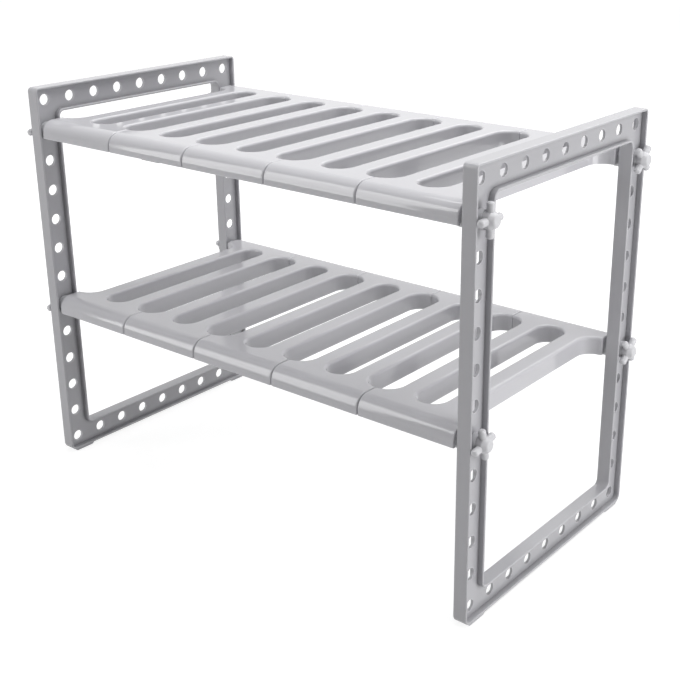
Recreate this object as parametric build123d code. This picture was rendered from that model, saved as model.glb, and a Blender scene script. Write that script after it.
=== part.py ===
# Two-tier under sink organizer of grey moulded plastic that widens on telescoping tubes.
# Two upright side frames with rows of round holes carry two tiers. Each tier has a front and
# a back pair of telescoping tubes, clamped to the frames by four star knobs, and five slotted
# panels hook over the tubes side by side.
# Millimetres. Origin on the floor under the middle of the rack. X is the width, with the
# plain inner tubes held by the left frame, the front faces -Y and +Z is up.
import os

from build123d import *

# Side frame
hole_pitch = 30.0
holes_deep = 9
holes_high = 13
hole_radius = 5.35
member_width = 25.5
frame_thickness = 13.0
web_thickness = 2.4
flange_wall = 2.2
top_corner_radius = 4.0
bottom_corner_radius = 7.0
window_corner_radius = 5.5
flange_edge_radius = 0.9
foot_height = 2.0
foot_length = 20.0
foot_taper = 5.0
foot_side_inset = 0.8
upper_tier_hole = 1
lower_tier_hole = 7

# Shelf panel
panels_per_tier = 5
panel_width = 96.8
panel_gap = 0.6
panel_end_gap = 3.3
panel_wall = 2.2
head_radius = 12.0
skirt_drop = 5.0
slot_width = 28.0
bar_width = 18.0
slot_end_setback = 14.0
slot_rim_radius = 2.6
panel_end_radius = 1.4
rib_wall = 1.6
ribs_per_bar = 3

# Telescoping tubes
outer_tube_radius = 8.5
tube_wall = 0.6
tube_running_clearance = 0.2
tube_length = 340.0
tube_end_radius = 0.2

# Sleeve on the mouth of each outer tube
sleeve_wall = 0.6
sleeve_length = 20.0
sleeve_lip_length = 8.0
sleeve_fit = 0.05
sleeve_running_clearance = 0.12
sleeve_edge_radius = 0.25

# Plug that closes each tube at its frame
plug_collar_length = 13.5
plug_spigot_length = 24.0
plug_fit = 0.05
plug_nose_clearance = 0.15
plug_nose_setback = 0.3
plug_edge_chamfer = 0.5

# Star knob and its screw
lobe_count = 4
lobe_radius = 3.2
lobe_reach = 14.2
lobe_end_radius = 2.2
lobe_flange_clearance = 0.35
hub_radius = 7.2
hub_length = 10.1
crown_radius = 4.6
crown_length = 4.6
crown_edge_radius = 2.4
shoulder_edge_radius = 1.6
neck_radius = 7.8
knob_seat_clearance = 0.1
screw_radius = 3.0
screw_clearance = 0.15
screw_cap = 5.8
screw_reach = 22.0
screw_tip_chamfer = 0.8
screw_fit = 0.03

# Fit between a panel's channel and the widest thing on the tubes, and overrun of the cuts
channel_clearance = 0.3
overrun = 1.0

# Turn of each knob, in degrees
knob_turns = {
    "left_upper_front": 8.0,
    "left_upper_back": 0.0,
    "left_lower_front": 22.0,
    "left_lower_back": 57.0,
    "right_upper_front": 0.0,
    "right_upper_back": 45.0,
    "right_lower_front": 13.0,
    "right_lower_back": 40.0,
}

# Sizes that follow
tube_spacing = (holes_deep - 1) * hole_pitch
frame_depth = tube_spacing + member_width
frame_height = (holes_high - 1) * hole_pitch + member_width
frame_middle = foot_height + frame_height / 2
window_depth = frame_depth - 2 * member_width
window_height = frame_height - 2 * member_width
panel_step = panel_width + panel_gap
tier_width = panels_per_tier * panel_width + (panels_per_tier - 1) * panel_gap
web_spacing = tier_width + 2 * panel_end_gap + frame_thickness
web_face = web_spacing / 2 - web_thickness / 2
top_hole_height = foot_height + frame_height - member_width / 2
tier_heights = {
    "upper": top_hole_height - upper_tier_hole * hole_pitch,
    "lower": top_hole_height - lower_tier_hole * hole_pitch,
}
tube_rows = {"front": -tube_spacing / 2, "back": tube_spacing / 2}
outer_tube_bore = outer_tube_radius - tube_wall
inner_tube_radius = outer_tube_bore - tube_running_clearance
inner_tube_bore = inner_tube_radius - tube_wall
collar_radius = outer_tube_radius + sleeve_fit + sleeve_wall
channel_radius = collar_radius + channel_clearance
notch_depth = (panel_width - slot_width) / 2 - bar_width
slot_length = tube_spacing - 2 * slot_end_setback
tube_start = web_face - plug_collar_length
hub_start = (frame_thickness - web_thickness) / 2
knob_plane = hub_start + lobe_flange_clearance + lobe_radius
hub_end = hub_start + hub_length
screw_seat = hub_end - screw_cap


def rounded_frame_outline(inset):
    """Outline of the frame, drawn in by the inset, with its own corner radii."""
    outline = Rectangle(frame_depth - 2 * inset, frame_height - 2 * inset)
    by_height = outline.vertices().group_by(Axis.Y)
    outline = fillet(by_height[-1], top_corner_radius - inset)
    by_height = outline.vertices().group_by(Axis.Y)
    return fillet(by_height[0], bottom_corner_radius - inset)


def window_outline(growth):
    """Outline of the frame's window, let out by the growth."""
    return RectangleRounded(
        window_depth + 2 * growth,
        window_height + 2 * growth,
        window_corner_radius + growth,
    )


def slab(outline, thickness):
    """An outline in depth and height, made solid to both sides of its plane."""
    return extrude(Plane.YZ * outline, amount=thickness / 2, both=True)


def hole_places():
    """Middles of the holes round the frame, in depth and height from its middle."""
    places = []
    for column in range(holes_deep):
        for row in range(holes_high):
            on_rail = row in (0, holes_high - 1)
            on_leg = column in (0, holes_deep - 1)
            if on_rail or on_leg:
                across = (column - (holes_deep - 1) / 2) * hole_pitch
                up = (row - (holes_high - 1) / 2) * hole_pitch
                places.append((across, up))
    return places


def foot_outline():
    """Shallow pad with sloping ends, its sole on the floor, at the front end of the rail."""
    sole_start = -frame_depth / 2 + bottom_corner_radius
    top_start = sole_start - foot_taper
    foot_top = -frame_height / 2 + flange_wall
    sole = -frame_height / 2 - foot_height
    return make_face(
        Polyline(
            (top_start, foot_top),
            (sole_start, sole),
            (sole_start + foot_length, sole),
            (sole_start + foot_length + foot_taper, foot_top),
            close=True,
        )
    )


def side_frame():
    """One side frame about its own middle: two flanges, a web between them, and two feet."""
    outer_flange = rounded_frame_outline(0) - rounded_frame_outline(flange_wall)
    inner_flange = window_outline(flange_wall) - window_outline(0)
    web = rounded_frame_outline(0) - window_outline(0)
    web -= Locations(*hole_places()) * Circle(hole_radius)
    frame = slab(outer_flange, frame_thickness)
    frame += slab(inner_flange, frame_thickness)
    frame += slab(web, web_thickness)
    for face_height in (-frame_thickness / 2, frame_thickness / 2):
        rim = frame.faces().filter_by(Plane.YZ).filter_by_position(
            Axis.X, face_height - flange_edge_radius / 2, face_height + flange_edge_radius / 2
        )
        frame = fillet(rim.edges(), flange_edge_radius)
    foot = slab(foot_outline(), frame_thickness - 2 * foot_side_inset)
    return frame + foot + mirror(foot, Plane.XZ)


def panel_outline():
    """Side view of a panel about the tube axis height: flat top, rounded heads, short skirts."""
    edge = tube_spacing / 2 + head_radius
    shoulder = head_radius * (1 - 2 ** -0.5)
    front = Polyline((-tube_spacing / 2, head_radius), (tube_spacing / 2, head_radius))
    back_arc = ThreePointArc(
        (tube_spacing / 2, head_radius),
        (edge - shoulder, head_radius - shoulder),
        (edge, 0),
    )
    skirt = Polyline((edge, 0), (edge, -skirt_drop), (-edge, -skirt_drop), (-edge, 0))
    front_arc = ThreePointArc(
        (-edge, 0),
        (-edge + shoulder, head_radius - shoulder),
        (-tube_spacing / 2, head_radius),
    )
    return make_face(front + back_arc + skirt + front_arc)


def slot_places():
    """Middles of the middle slot and of the half slots at both sides, with their widths."""
    side_width = 2 * notch_depth
    return ((-panel_width / 2, side_width), (0, slot_width), (panel_width / 2, side_width))


def slot_cutter(width):
    """Cutter for a slot with full round ends, flared at the top by the rim's radius."""
    half = width / 2
    top = head_radius
    low = -skirt_drop - overrun
    flare = half + slot_rim_radius
    rim_mid = slot_rim_radius * 2 ** -0.5
    side = Polyline((0, low), (half, low), (half, top - slot_rim_radius))
    rim = ThreePointArc(
        (half, top - slot_rim_radius),
        (flare - rim_mid, top - slot_rim_radius + rim_mid),
        (flare, top),
    )
    above = Polyline((flare, top), (flare, top + overrun), (0, top + overrun), (0, low))
    section = Plane.XZ * make_face(side + rim + above)
    straight = slot_length - width
    run = extrude(section + mirror(section, Plane.YZ), amount=straight / 2, both=True)
    end = revolve(section, Axis.Z)
    return run + Pos(0, straight / 2, 0) * end + Pos(0, -straight / 2, 0) * end


def slot_cores():
    """Upright prisms round the slots, let out by the wall that stands about each slot."""
    height = 2 * (head_radius + skirt_drop + overrun)
    length = slot_length + 2 * panel_wall
    cores = []
    for across, width in slot_places():
        outline = Rot(0, 0, 90) * SlotOverall(length, width + 2 * panel_wall)
        cores.append(Pos(across, 0, 0) * extrude(outline, amount=height / 2, both=True))
    return cores


def tube_channel():
    """Round-topped channel for a tube, open to the floor, along the whole panel."""
    length = panel_width + 2 * overrun
    drop = skirt_drop + overrun
    round_part = Rot(0, 90, 0) * Cylinder(channel_radius, length)
    return round_part + Pos(0, 0, -drop / 2) * Box(length, 2 * channel_radius, drop)


def panel_hollow():
    """Hollow under the top of a panel, kept clear of the slot walls and its cross ribs."""
    depth = tube_spacing
    top = head_radius - panel_wall
    height = top + skirt_drop + overrun
    hollow = Pos(0, 0, top - height / 2) * Box(panel_width - 2 * panel_wall, depth, height)
    hollow -= slot_cores()
    rib_step = slot_length / (ribs_per_bar + 1)
    for rib in range(ribs_per_bar):
        along = (rib - (ribs_per_bar - 1) / 2) * rib_step
        hollow -= Pos(0, along, 0) * Box(panel_width, rib_wall, 2 * (height + head_radius))
    return hollow


def shelf_panel():
    """One slotted panel about the middle of its width and depth, at the tube axis height."""
    panel = slab(panel_outline(), panel_width)
    end_faces = panel.faces().filter_by(Plane.YZ)
    round_edges = end_faces.edges().filter_by(
        lambda edge: edge.center().Z > -skirt_drop + panel_end_radius / 2
    )
    panel = fillet(round_edges, panel_end_radius)
    for across, width in slot_places():
        panel -= Pos(across, 0, 0) * slot_cutter(width)
    panel -= panel_hollow()
    for row in tube_rows.values():
        panel -= Pos(0, row, 0) * tube_channel()
    return panel


def turned(*outline):
    """A piece turned about X, from its outline in distance along X and radius."""
    return revolve(make_face(Polyline(*outline, close=True)), Axis.X)


def tube(radius, start):
    """A thin round tube that runs from the start towards +X."""
    bore = radius - tube_wall
    return turned(
        (start, bore),
        (start, radius - tube_end_radius),
        (start + tube_end_radius, radius),
        (start + tube_length - tube_end_radius, radius),
        (start + tube_length, radius - tube_end_radius),
        (start + tube_length, bore),
    )


def tube_sleeve():
    """Sleeve over the mouth of an outer tube whose end face is at zero, lip towards -X."""
    lip_bore = inner_tube_radius + sleeve_running_clearance
    grip_bore = outer_tube_radius + sleeve_fit
    lip_end = -sleeve_lip_length
    grip_end = sleeve_length - sleeve_lip_length
    return turned(
        (lip_end, lip_bore),
        (lip_end, collar_radius - sleeve_edge_radius),
        (lip_end + sleeve_edge_radius, collar_radius),
        (grip_end - sleeve_edge_radius, collar_radius),
        (grip_end, collar_radius - sleeve_edge_radius),
        (grip_end, grip_bore),
        (0, grip_bore),
        (0, lip_bore),
    )


def tube_plug(bore):
    """Plug that runs from the web face at zero towards +X into a tube of the given bore."""
    screw_bore = screw_radius + screw_clearance
    nose = hole_radius - plug_nose_clearance
    spigot = bore - plug_fit
    nose_end = -web_thickness + plug_nose_setback
    spigot_end = plug_collar_length + plug_spigot_length
    return turned(
        (nose_end, screw_bore),
        (nose_end, nose),
        (0, nose),
        (0, collar_radius - plug_edge_chamfer),
        (plug_edge_chamfer, collar_radius),
        (plug_collar_length, collar_radius),
        (plug_collar_length, spigot),
        (spigot_end - plug_edge_chamfer, spigot),
        (spigot_end, spigot - plug_edge_chamfer),
        (spigot_end, screw_bore),
    )


def star_knob():
    """Knob with four round lobes; the web's outer face is at zero and it reaches to +X."""
    start = knob_seat_clearance
    crown_start = hub_end - crown_length
    outline = Polyline(
        (start, 0),
        (start, neck_radius),
        (hub_start, neck_radius),
        (hub_start, hub_radius),
        (crown_start, hub_radius),
        (hub_end, crown_radius),
        (hub_end, 0),
        close=True,
    )
    half = make_face(outline)
    rim = half.vertices().sort_by_distance((hub_end, crown_radius, 0))[0]
    half = fillet(rim, crown_edge_radius)
    shoulder = half.vertices().sort_by_distance((crown_start, hub_radius, 0))[0]
    half = fillet(shoulder, shoulder_edge_radius)
    knob = revolve(half, Axis.X)
    lobe = Cylinder(lobe_radius, lobe_reach, align=(Align.CENTER, Align.CENTER, Align.MIN))
    lobe = fillet(lobe.edges().group_by(Axis.Z)[-1], lobe_end_radius)
    lobe = Pos(knob_plane, 0, 0) * lobe
    for turn in range(lobe_count):
        knob += Rot(turn * 360 / lobe_count, 0, 0) * lobe
    socket = Rot(0, 90, 0) * Cylinder(screw_radius + screw_fit, screw_seat + overrun)
    return knob - Pos((screw_seat - overrun) / 2, 0, 0) * socket


def knob_screw():
    """Screw moulded into a knob, from its seat in the hub to its tip inside the plug."""
    tip = -web_thickness - screw_reach
    seat = screw_seat - screw_fit
    return turned(
        (tip, 0),
        (tip, screw_radius - screw_tip_chamfer),
        (tip + screw_tip_chamfer, screw_radius),
        (seat, screw_radius),
        (seat, 0),
    )


def mirrored_left(piece):
    """The same piece for the left side."""
    return mirror(piece, Plane.YZ)


def frame_pieces():
    """Both side frames in place."""
    frame = Pos(0, 0, frame_middle) * side_frame()
    return {
        "left_frame": Pos(-web_spacing / 2, 0, 0) * frame,
        "right_frame": Pos(web_spacing / 2, 0, 0) * frame,
    }


def panel_pieces():
    """All shelf panels, numbered from the left."""
    pieces = {}
    panel = shelf_panel()
    for tier, height in tier_heights.items():
        for number in range(panels_per_tier):
            across = (number - (panels_per_tier - 1) / 2) * panel_step
            pieces[f"{tier}_panel_{number + 1}"] = Pos(across, 0, height) * panel
    return pieces


def rail_pieces():
    """Tubes, sleeves and plugs of the four telescoping rails."""
    pieces = {}
    mouth = tube_start - tube_length
    left_plug = Pos(-web_face, 0, 0) * tube_plug(inner_tube_bore)
    right_plug = mirrored_left(Pos(-web_face, 0, 0) * tube_plug(outer_tube_bore))
    for tier, height in tier_heights.items():
        for row, depth in tube_rows.items():
            place = Pos(0, depth, height)
            rail = f"{tier}_{row}"
            pieces[f"{rail}_inner_tube"] = place * tube(inner_tube_radius, -tube_start)
            pieces[f"{rail}_outer_tube"] = place * tube(outer_tube_radius, mouth)
            pieces[f"{rail}_sleeve"] = place * Pos(mouth, 0, 0) * tube_sleeve()
            pieces[f"left_{rail}_plug"] = place * left_plug
            pieces[f"right_{rail}_plug"] = place * right_plug
    return pieces


def clamp_pieces():
    """Knobs and screws, each turned as it was left after tightening."""
    pieces = {}
    outer_face = web_spacing / 2 + web_thickness / 2
    knob = star_knob()
    screw = knob_screw()
    for tier, height in tier_heights.items():
        for row, depth in tube_rows.items():
            for side in ("left", "right"):
                name = f"{side}_{tier}_{row}"
                turned_knob = Pos(outer_face, 0, 0) * Rot(knob_turns[name], 0, 0) * knob
                placed_screw = Pos(outer_face, 0, 0) * screw
                if side == "left":
                    turned_knob = mirrored_left(turned_knob)
                    placed_screw = mirrored_left(placed_screw)
                pieces[f"{name}_knob"] = Pos(0, depth, height) * turned_knob
                pieces[f"{name}_screw"] = Pos(0, depth, height) * placed_screw
    return pieces


def main():
    """Write each piece to its own file."""
    os.makedirs("parts", exist_ok=True)
    pieces = frame_pieces() | panel_pieces() | rail_pieces() | clamp_pieces()
    for name, piece in pieces.items():
        export_step(piece, f"parts/{name}.step")


main()
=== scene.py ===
import math

import bpy
from mathutils import Matrix, Vector

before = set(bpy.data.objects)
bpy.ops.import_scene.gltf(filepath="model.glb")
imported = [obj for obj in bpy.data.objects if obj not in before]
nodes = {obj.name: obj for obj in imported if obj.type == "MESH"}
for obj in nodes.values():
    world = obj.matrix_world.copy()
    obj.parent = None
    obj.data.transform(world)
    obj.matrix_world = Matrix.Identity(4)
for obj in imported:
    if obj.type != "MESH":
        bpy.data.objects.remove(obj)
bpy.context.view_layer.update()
scene = bpy.context.scene
print("frame loaded:", len(nodes), "nodes")


# small helpers for node trees

def startMaterial(name):
    material = bpy.data.materials.new(name)
    material.use_nodes = True
    material.node_tree.nodes.clear()
    return material, material.node_tree


def addNode(tree, kind, place, inputs=None, **settings):
    node = tree.nodes.new(kind)
    node.location = place
    for key, value in settings.items():
        setattr(node, key, value)
    for key, value in (inputs or {}).items():
        if isinstance(value, bpy.types.NodeSocket):
            tree.links.new(value, node.inputs[key])
        else:
            node.inputs[key].default_value = value
    return node


def math2(tree, operation, first, second, place):
    node = addNode(tree, "ShaderNodeMath", place, {0: first, 1: second}, operation=operation)
    return node.outputs[0]


def opaque(colour):
    return (*colour, 1.0)


def startGroup(name, takes, gives):
    group = bpy.data.node_groups.new(name, "ShaderNodeTree")
    for label, kind, value in takes:
        socket = group.interface.new_socket(label, in_out="INPUT", socket_type=kind)
        socket.default_value = value
    for label, kind in gives:
        group.interface.new_socket(label, in_out="OUTPUT", socket_type=kind)
    start = addNode(group, "NodeGroupInput", (-1400, 0))
    end = addNode(group, "NodeGroupOutput", (900, 0))
    return group, start.outputs, end.inputs


def useGroup(tree, group, place, **inputs):
    node = tree.nodes.new("ShaderNodeGroup")
    node.node_tree = group
    node.location = place
    for key, value in inputs.items():
        socket = node.inputs[key]
        if isinstance(value, bpy.types.NodeSocket):
            tree.links.new(value, socket)
        else:
            socket.default_value = value
    return node.outputs


def seenRay(tree, place):
    # 1 for what the camera sees, straight, mirrored or through glass
    path = addNode(tree, "ShaderNodeLightPath", place).outputs
    first = math2(tree, "ADD", path["Is Camera Ray"], path["Is Glossy Ray"], (place[0] + 200, place[1]))
    return addNode(tree, "ShaderNodeMath", (place[0] + 400, place[1]),
                   {0: first, 1: path["Is Transmission Ray"]}, operation="ADD", use_clamp=True).outputs[0]


# effects that several materials share

noiseMiddle = 0.5

# the edge settings shape the painted highlight on edges, the corner settings the painted shade in inner
# corners
toneShape = {
    "slowDetail": 3.0, "fineScale": 240.0, "fineDetail": 4.0, "slowShare": 0.75, "samples": 6,
    "highlightReach": 0.0012, "highlightFrom": 0.92, "highlightTo": 0.40,
    "shadeReach": 0.005, "shadeFrom": 0.95, "shadeTo": 0.45,
}


def buildToneAndPaintedLight(shape):
    # slow colour drift of moulded plastic, with painted highlights on the edges and painted shade in the
    # inner corners
    group, given, out = startGroup(
        "toneAndPaintedLight",
        (
            ("Colour", "NodeSocketColor", (0.5, 0.5, 0.5, 1)),
            ("Drift", "NodeSocketFloat", 0.03),
            ("DriftScale", "NodeSocketFloat", 14.0),
            ("EdgeRub", "NodeSocketFloat", 0.05),
            ("Corners", "NodeSocketFloat", 0.2),
        ),
        (("Colour", "NodeSocketColor"),),
    )
    place = addNode(group, "ShaderNodeTexCoord", (-1200, 300)).outputs["Object"]
    slow = addNode(group, "ShaderNodeTexNoise", (-900, 300),
                   {"Vector": place, "Scale": given["DriftScale"], "Detail": shape["slowDetail"]}).outputs[0]
    fast = addNode(group, "ShaderNodeTexNoise", (-900, 50),
                   {"Vector": place, "Scale": shape["fineScale"], "Detail": shape["fineDetail"]}).outputs[0]
    both = math2(group, "ADD", math2(group, "MULTIPLY", slow, shape["slowShare"], (-700, 300)),
                 math2(group, "MULTIPLY", fast, 1 - shape["slowShare"], (-700, 50)), (-500, 200))
    swing = math2(group, "MULTIPLY", math2(group, "SUBTRACT", both, noiseMiddle, (-350, 200)),
                  given["Drift"], (-200, 200))
    # painted highlight: convex edges found by a short inside AO are lightened, standing in for light caught
    # on the rounded edges
    solid = addNode(group, "ShaderNodeAmbientOcclusion", (-900, -250), {"Distance": shape["highlightReach"]},
                    samples=shape["samples"], inside=True, only_local=True).outputs["AO"]
    highlightMask = addNode(group, "ShaderNodeMapRange", (-650, -250),
                   {"Value": solid, "From Min": shape["highlightFrom"], "From Max": shape["highlightTo"]}).outputs[0]
    paintedHighlight = math2(group, "MULTIPLY", highlightMask, given["EdgeRub"], (-400, -250))
    # painted shade: inner corners found by AO are darkened, standing in for the shade that falls in creases
    # and where parts meet
    room = addNode(group, "ShaderNodeAmbientOcclusion", (-900, -500), {"Distance": shape["shadeReach"]},
                   samples=shape["samples"], only_local=True).outputs["AO"]
    shadeMask = addNode(group, "ShaderNodeMapRange", (-650, -500),
                     {"Value": room, "From Min": shape["shadeFrom"],
                      "From Max": shape["shadeTo"]}).outputs[0]
    paintedShade = math2(group, "MULTIPLY", shadeMask, given["Corners"], (-400, -500))
    # colour = random drift + painted edge highlight - painted corner shade
    change = math2(group, "SUBTRACT", math2(group, "ADD", swing, paintedHighlight, (0, 100)), paintedShade, (100, 0))
    gain = math2(group, "ADD", change, 1.0, (220, 100))
    tinted = addNode(group, "ShaderNodeVectorMath", (350, 100),
                     {0: given["Colour"], "Scale": gain}, operation="SCALE").outputs[0]
    group.links.new(tinted, out["Colour"])
    return group


skinShape = {
    "sparkDetail": 2.0, "waveDetail": 1.0, "smearScale": 60.0, "smearDetail": 5.0, "smearRoughness": 0.6,
}


def buildMouldedSkin(shape):
    # very fine spark texture of the mould, slow waviness of the face, and roughness that drifts
    group, given, out = startGroup(
        "mouldedSkin",
        (
            ("Roughness", "NodeSocketFloat", 0.25),
            ("Spread", "NodeSocketFloat", 0.06),
            ("Grain", "NodeSocketFloat", 0.3),
            ("GrainScale", "NodeSocketFloat", 1600.0),
            ("Wave", "NodeSocketFloat", 0.5),
            ("WaveScale", "NodeSocketFloat", 26.0),
        ),
        (("Roughness", "NodeSocketFloat"), ("Height", "NodeSocketFloat")),
    )
    place = addNode(group, "ShaderNodeTexCoord", (-1200, 300)).outputs["Object"]
    spark = addNode(group, "ShaderNodeTexNoise", (-900, 300),
                    {"Vector": place, "Scale": given["GrainScale"],
                     "Detail": shape["sparkDetail"]}).outputs[0]
    wave = addNode(group, "ShaderNodeTexNoise", (-900, 50),
                   {"Vector": place, "Scale": given["WaveScale"], "Detail": shape["waveDetail"]}).outputs[0]
    smear = addNode(group, "ShaderNodeTexNoise", (-900, -200),
                    {"Vector": place, "Scale": shape["smearScale"], "Detail": shape["smearDetail"],
                     "Roughness": shape["smearRoughness"]}).outputs[0]
    height = math2(group, "ADD", math2(group, "MULTIPLY", spark, given["Grain"], (-600, 300)),
                   math2(group, "MULTIPLY", wave, given["Wave"], (-600, 50)), (-400, 200))
    shift = math2(group, "MULTIPLY", math2(group, "SUBTRACT", smear, noiseMiddle, (-600, -200)),
                  given["Spread"], (-400, -200))
    rough = addNode(group, "ShaderNodeMath", (-200, -100), {0: given["Roughness"], 1: shift},
                    operation="ADD", use_clamp=True).outputs[0]
    group.links.new(rough, out["Roughness"])
    group.links.new(height, out["Height"])
    return group


dustShape = {
    "colour": (0.62, 0.61, 0.59), "patchScale": 35.0, "patchDetail": 6.0, "patchRoughness": 0.7,
    "patchFrom": 0.42, "patchTo": 0.7, "upFrom": 0.6,
}


def buildSettledDust(shape):
    # thin dust on faces that look up, patchy
    group, given, out = startGroup(
        "settledDust",
        (
            ("Colour", "NodeSocketColor", (0.5, 0.5, 0.5, 1)),
            ("Dust", "NodeSocketColor", opaque(shape["colour"])),
            ("Amount", "NodeSocketFloat", 0.08),
        ),
        (("Colour", "NodeSocketColor"), ("Mask", "NodeSocketFloat")),
    )
    normal = addNode(group, "ShaderNodeNewGeometry", (-1200, 0)).outputs["Normal"]
    up = addNode(group, "ShaderNodeSeparateXYZ", (-1000, 0), {0: normal}).outputs["Z"]
    face = addNode(group, "ShaderNodeMapRange", (-800, 0),
                   {"Value": up, "From Min": shape["upFrom"], "From Max": 1.0}).outputs[0]
    place = addNode(group, "ShaderNodeTexCoord", (-1200, -300)).outputs["Object"]
    patch = addNode(group, "ShaderNodeTexNoise", (-1000, -300),
                    {"Vector": place, "Scale": shape["patchScale"], "Detail": shape["patchDetail"],
                     "Roughness": shape["patchRoughness"]}).outputs[0]
    lumpy = addNode(group, "ShaderNodeMapRange", (-800, -300),
                    {"Value": patch, "From Min": shape["patchFrom"],
                     "From Max": shape["patchTo"]}).outputs[0]
    mask = math2(group, "MULTIPLY", math2(group, "MULTIPLY", face, lumpy, (-550, -100)),
                 given["Amount"], (-350, -100))
    mixed = addNode(group, "ShaderNodeMix", (-100, 100), {"Factor": mask}, data_type="RGBA")
    group.links.new(given["Colour"], mixed.inputs["A"])
    group.links.new(given["Dust"], mixed.inputs["B"])
    group.links.new(mixed.outputs["Result"], out["Colour"])
    group.links.new(mask, out["Mask"])
    return group


toneAndPaintedLight = buildToneAndPaintedLight(toneShape)
mouldedSkin = buildMouldedSkin(skinShape)
settledDust = buildSettledDust(dustShape)
print("shared effects built")


# plastic of the shelves, frames, knobs, plugs and sleeves

def mouldedPlastic(name, look):
    material, tree = startMaterial(name)
    # the tone group adds painted highlights on edges and painted shade in inner corners to the colour drift
    tone = useGroup(tree, toneAndPaintedLight, (-700, 200), Colour=opaque(look["colour"]),
                    Drift=look["drift"], DriftScale=look["driftScale"], EdgeRub=look["paintedEdgeHighlight"],
                    Corners=look["corners"])
    dust = useGroup(tree, settledDust, (-450, 200), Colour=tone["Colour"], Amount=look["dust"])
    skin = useGroup(tree, mouldedSkin, (-700, -200), Roughness=look["roughness"],
                    Spread=look["spread"], Grain=look["grain"], GrainScale=look["grainScale"],
                    Wave=look["wave"], WaveScale=look["waveScale"])
    dull = math2(tree, "MULTIPLY", dust["Mask"], look["dustDulls"], (-450, -50))
    rough = math2(tree, "ADD", skin["Roughness"], dull, (-250, -100))
    bump = addNode(tree, "ShaderNodeBump", (-250, -300),
                   {"Height": skin["Height"], "Strength": look["bump"], "Distance": look["bumpDepth"]})
    shader = addNode(tree, "ShaderNodeBsdfPrincipled", (0, 0),
                     {"Base Color": dust["Colour"], "Roughness": rough, "Normal": bump.outputs[0]})
    shader.inputs["IOR"].default_value = look["ior"]
    end = addNode(tree, "ShaderNodeOutputMaterial", (300, 0))
    tree.links.new(shader.outputs[0], end.inputs[0])
    return material


# in each look the edge value sets the painted highlight on edges and corners sets the painted shade in inner
# corners
shelfLook = {
    "colour": (0.570, 0.566, 0.594), "drift": 0.035, "driftScale": 11.0, "paintedEdgeHighlight": 0.24, "corners": 0.16,
    "dust": 0.04, "dustDulls": 0.5, "roughness": 0.07, "spread": 0.03, "grain": 0.08, "grainScale": 1500.0,
    "wave": 0.5, "waveScale": 22.0, "bump": 0.35, "bumpDepth": 0.00025, "ior": 1.52,
}
frameLook = {
    "colour": (0.474, 0.471, 0.494), "drift": 0.04, "driftScale": 9.0, "paintedEdgeHighlight": 0.30, "corners": 0.34,
    "dust": 0.04, "dustDulls": 0.5, "roughness": 0.20, "spread": 0.05, "grain": 0.14, "grainScale": 1700.0,
    "wave": 1.0, "waveScale": 30.0, "bump": 0.35, "bumpDepth": 0.00025, "ior": 1.50,
}
knobLook = {
    "colour": (0.630, 0.628, 0.650), "drift": 0.03, "driftScale": 60.0, "paintedEdgeHighlight": 0.08, "corners": 0.26,
    "dust": 0.03, "dustDulls": 0.5, "roughness": 0.24, "spread": 0.05, "grain": 0.25, "grainScale": 2200.0,
    "wave": 0.8, "waveScale": 90.0, "bump": 0.35, "bumpDepth": 0.0002, "ior": 1.50,
}
plugLook = dict(knobLook, colour=(0.560, 0.565, 0.580))
# the near-black sleeve colour is painted shade, standing for the shade the sleeves sit in under the shelf
# lips
sleeveLookPaintedShade = dict(knobLook, colour=(0.10, 0.102, 0.106), roughness=0.42)


def coatedTube(name, look):
    # thin grey coat on steel, with rub marks along the tube; bare metal where metallic is 1
    material, tree = startMaterial(name)
    place = addNode(tree, "ShaderNodeTexCoord", (-1200, 0)).outputs["Object"]
    along = addNode(tree, "ShaderNodeMapping", (-1000, 0), {"Vector": place, "Scale": look["streak"]})
    rub = addNode(tree, "ShaderNodeTexNoise", (-800, 0),
                  {"Vector": along.outputs[0], "Scale": look["rubScale"],
                   "Detail": look["rubDetail"]}).outputs[0]
    mark = addNode(tree, "ShaderNodeMapRange", (-600, 0),
                   {"Value": rub, "From Min": look["rubFrom"], "From Max": look["rubTo"]}).outputs[0]
    # the tone group adds painted highlights on edges and painted shade in inner corners to the colour drift
    tone = useGroup(tree, toneAndPaintedLight, (-700, 300), Colour=opaque(look["colour"]),
                    Drift=look["drift"], DriftScale=look["driftScale"], EdgeRub=look["paintedEdgeHighlight"],
                    Corners=look["corners"])
    mixed = addNode(tree, "ShaderNodeMix", (-350, 200),
                    {"Factor": math2(tree, "MULTIPLY", mark, look["rub"], (-450, 0))}, data_type="RGBA")
    tree.links.new(tone["Colour"], mixed.inputs["A"])
    mixed.inputs["B"].default_value = opaque(look["rubColour"])
    skin = useGroup(tree, mouldedSkin, (-700, -300), Roughness=look["roughness"],
                    Spread=look["spread"], Grain=look["grain"], GrainScale=look["grainScale"],
                    Wave=look["wave"], WaveScale=look["waveScale"])
    bump = addNode(tree, "ShaderNodeBump", (-350, -300),
                   {"Height": skin["Height"], "Strength": look["bump"], "Distance": look["bumpDepth"]})
    shader = addNode(tree, "ShaderNodeBsdfPrincipled", (0, 0),
                     {"Base Color": mixed.outputs["Result"], "Roughness": skin["Roughness"],
                      "Normal": bump.outputs[0]})
    shader.inputs["Metallic"].default_value = look["metallic"]
    end = addNode(tree, "ShaderNodeOutputMaterial", (300, 0))
    tree.links.new(shader.outputs[0], end.inputs[0])
    return material


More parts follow.
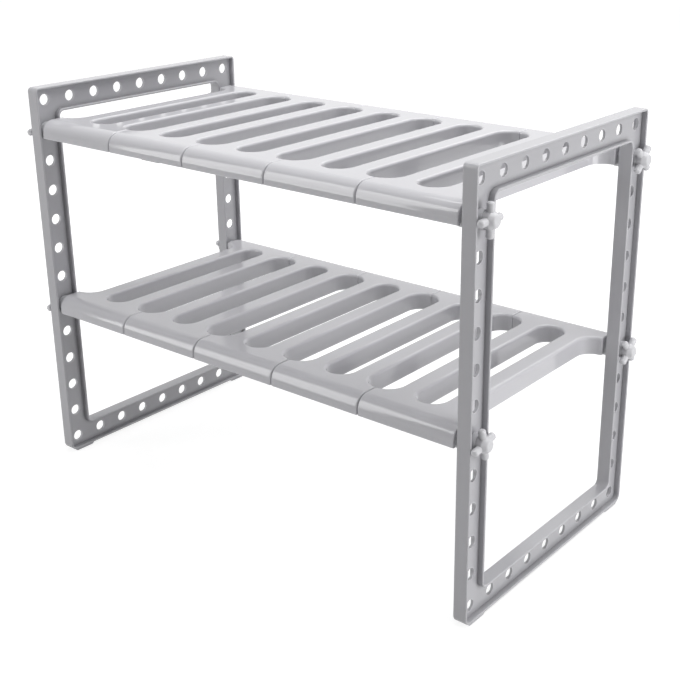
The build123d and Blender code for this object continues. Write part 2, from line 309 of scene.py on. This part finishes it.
# the dark coat colour is painted shade: the tube is darkened to stand for the shade it lies in under the
# shelf lips
tubeLookWithPaintedShade = {
    "colour": (0.20, 0.202, 0.208), "rubColour": (0.30, 0.30, 0.31), "rub": 0.4, "rubScale": 3.0,
    "rubDetail": 5.0, "rubFrom": 0.55, "rubTo": 0.75, "streak": (6.0, 260.0, 260.0), "drift": 0.06,
    "driftScale": 30.0,
    "paintedEdgeHighlight": 0.1, "corners": 0.2, "roughness": 0.36, "spread": 0.1, "grain": 0.3, "grainScale": 1200.0,
    "wave": 0.4, "waveScale": 120.0, "bump": 0.3, "bumpDepth": 0.0001, "metallic": 0.0,
}
screwLook = dict(tubeLookWithPaintedShade, colour=(0.55, 0.55, 0.54), rubColour=(0.68, 0.67, 0.64), drift=0.08,
                 rub=0.6, roughness=0.3, metallic=1.0)

finishes = {
    "frame": mouldedPlastic("framePlastic", frameLook),
    "panel": mouldedPlastic("shelfPlastic", shelfLook),
    "knob": mouldedPlastic("knobPlastic", knobLook),
    "plug": mouldedPlastic("plugPlastic", plugLook),
    "sleeve": mouldedPlastic("sleevePaintedShadePlastic", sleeveLookPaintedShade),
    "tube": coatedTube("tubeCoatPaintedShade", tubeLookWithPaintedShade),
    "screw": coatedTube("screwZinc", screwLook),
}
for name, node in nodes.items():
    kind = next(key for key in finishes if key in name)
    if node.material_slots:
        for slot in node.material_slots:
            slot.material = finishes[kind]
    else:
        node.data.materials.append(finishes[kind])
print("materials set on", len(nodes), "nodes")


# white paper floor: shown with a glow that is weaker near the rack, so that its shadow stays
floorLook = {"size": 12.0, "tone": 0.64, "near": 0.845, "far": 1.0, "nearReach": 0.30, "farReach": 1.1,
             "shownTone": 0.30, "gap": 0.0003}


def buildFloor(look):
    mesh = bpy.data.meshes.new("floor")
    half = look["size"] / 2
    corners = [(-half, -half, 0), (half, -half, 0), (half, half, 0), (-half, half, 0)]
    mesh.from_pydata(corners, [], [(0, 1, 2, 3)])
    floor = bpy.data.objects.new("floor", mesh)
    floor.location.z = -look["gap"]
    scene.collection.objects.link(floor)
    material, tree = startMaterial("floorPaper")
    plain = addNode(tree, "ShaderNodeBsdfDiffuse", (-400, 200), {"Color": opaque((look["tone"],) * 3)})
    soft = addNode(tree, "ShaderNodeBsdfDiffuse", (-400, 0), {"Color": opaque((look["shownTone"],) * 3)})
    place = addNode(tree, "ShaderNodeTexCoord", (-1200, -300)).outputs["Object"]
    reach = addNode(tree, "ShaderNodeVectorMath", (-1000, -300), {0: place},
                    operation="LENGTH").outputs["Value"]
    strength = addNode(tree, "ShaderNodeMapRange", (-800, -300),
                       {"Value": reach, "From Min": look["nearReach"], "From Max": look["farReach"],
                        "To Min": look["near"], "To Max": look["far"]}).outputs[0]
    glow = addNode(tree, "ShaderNodeEmission", (-400, -150), {"Strength": strength})
    shown = addNode(tree, "ShaderNodeAddShader", (-200, -50))
    tree.links.new(soft.outputs[0], shown.inputs[0])
    tree.links.new(glow.outputs[0], shown.inputs[1])
    mix = addNode(tree, "ShaderNodeMixShader", (0, 100), {0: seenRay(tree, (-600, 400))})
    tree.links.new(plain.outputs[0], mix.inputs[1])
    tree.links.new(shown.outputs[0], mix.inputs[2])
    end = addNode(tree, "ShaderNodeOutputMaterial", (200, 100))
    tree.links.new(mix.outputs[0], end.inputs[0])
    mesh.materials.append(material)
    return floor


worldLook = {"light": (0.98, 0.98, 1.0), "lightStrength": 0.06, "shown": (1, 1, 1), "shownStrength": 1.0}


def buildWorld(look):
    world = bpy.data.worlds.new("studio")
    world.use_nodes = True
    tree = world.node_tree
    tree.nodes.clear()
    light = addNode(tree, "ShaderNodeBackground", (-200, 100),
                    {"Color": opaque(look["light"]), "Strength": look["lightStrength"]})
    shown = addNode(tree, "ShaderNodeBackground", (-200, -100),
                    {"Color": opaque(look["shown"]), "Strength": look["shownStrength"]})
    mix = addNode(tree, "ShaderNodeMixShader", (0, 0), {0: seenRay(tree, (-800, 300))})
    tree.links.new(light.outputs[0], mix.inputs[1])
    tree.links.new(shown.outputs[0], mix.inputs[2])
    end = addNode(tree, "ShaderNodeOutputWorld", (200, 0))
    tree.links.new(mix.outputs[0], end.inputs[0])
    scene.world = world


lampLooks = {
    "overhead": {"at": (0.15, 0.25, 1.9), "aim": (0, 0, 0.3), "size": (1.8, 1.4), "power": 31.5},
    "overheadBack": {"at": (0.0, 1.5, 1.6), "aim": (0, 0, 0.25), "size": (1.6, 1.0), "power": 9.0},
    "rightSoft": {"at": (1.45, 0.1, 0.38), "aim": (0.2, 0, 0.2), "size": (0.9, 0.9), "power": 11.0},
    "frontLeft": {"at": (-1.3, -1.6, 1.02), "aim": (-0.07, -0.13, 1.02), "size": (0.75, 2.04),
                  "power": 21.0},
}


def buildLamps(looks):
    for name, look in looks.items():
        data = bpy.data.lights.new(name, "AREA")
        data.shape = "RECTANGLE"
        data.size, data.size_y = look["size"]
        data.energy = look["power"]
        lamp = bpy.data.objects.new(name, data)
        lamp.location = look["at"]
        away = Vector(look["at"]) - Vector(look["aim"])
        lamp.rotation_euler = away.to_track_quat("Z", "Y").to_euler()
        scene.collection.objects.link(lamp)


buildFloor(floorLook)
buildWorld(worldLook)
buildLamps(lampLooks)
print("floor, world and lamps set")


# camera, from the photograph's hole rows
cameraLook = {
    "at": (0.70739, -0.80912, 0.58102), "yaw": -38.4413, "pitch": -20.1825, "roll": -0.1863,
    "focalPixels": 1176.99, "middlePixels": (379.04, 303.68), "imagePixels": 680.0, "sensor": 36.0,
    "clip": (0.02, 60.0),
}


def buildCamera(look):
    yaw, pitch, roll = (math.radians(look[key]) for key in ("yaw", "pitch", "roll"))
    ahead = Vector((math.sin(yaw) * math.cos(pitch), math.cos(yaw) * math.cos(pitch), math.sin(pitch)))
    side = ahead.cross(Vector((0, 0, 1))).normalized()
    up = side.cross(ahead)
    right = side * math.cos(roll) + up * math.sin(roll)
    top = up * math.cos(roll) - side * math.sin(roll)
    data = bpy.data.cameras.new("camera")
    data.sensor_width = look["sensor"]
    data.lens = look["focalPixels"] / look["imagePixels"] * look["sensor"]
    data.shift_x = 0.5 - look["middlePixels"][0] / look["imagePixels"]
    data.shift_y = look["middlePixels"][1] / look["imagePixels"] - 0.5
    data.clip_start, data.clip_end = look["clip"]
    camera = bpy.data.objects.new("camera", data)
    turn = Matrix((right, top, -ahead)).transposed().to_4x4()
    camera.matrix_world = Matrix.Translation(look["at"]) @ turn
    scene.collection.objects.link(camera)
    scene.camera = camera


buildCamera(cameraLook)
scene.view_settings.view_transform = "Standard"
print("camera set")
